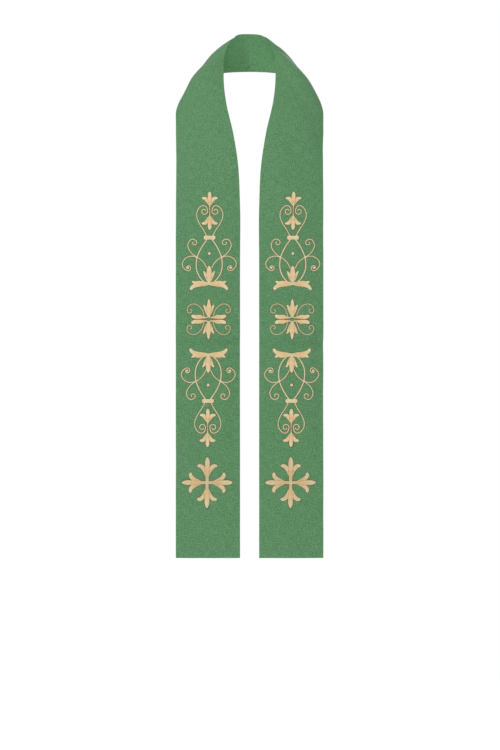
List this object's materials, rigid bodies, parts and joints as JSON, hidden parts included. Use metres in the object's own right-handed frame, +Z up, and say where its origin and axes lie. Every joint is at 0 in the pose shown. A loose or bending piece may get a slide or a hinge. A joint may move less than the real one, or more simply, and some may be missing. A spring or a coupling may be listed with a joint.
{
  "type": "clerical stole",
  "caption": "Green clerical stole worn round the neck, both fronts hanging straight, with raised gold scroll, leaf and cross embroidery down each front.",
  "frame": {"origin": "middle of the neck edge at the centre back, where the band rests on the nape", "axes": "+Z up; -Y is the way the wearer faces, so the fronts hang on the -Y side; -X is the wearer's right"},
  "size_m": [0.3352, 0.2302, 1.197],
  "materials": {
    "green_cloth": "matt, fine mottled weave with small glints",
    "gold_thread": "satin stitch in gold thread with a soft sheen"
  },
  "bodies": {
    "root": {"right_half": "green_cloth", "left_half": "green_cloth", "right_upper_scroll": "gold_thread", "right_upper_dot": "gold_thread", "right_centre_ornament": "gold_thread", "right_lower_dot": "gold_thread", "right_lower_scroll": "gold_thread", "right_cross": "gold_thread", "left_upper_scroll": "gold_thread", "left_upper_dot": "gold_thread", "left_centre_ornament": "gold_thread", "left_lower_dot": "gold_thread", "left_lower_scroll": "gold_thread", "left_cross": "gold_thread"}
  },
  "joints": []
}
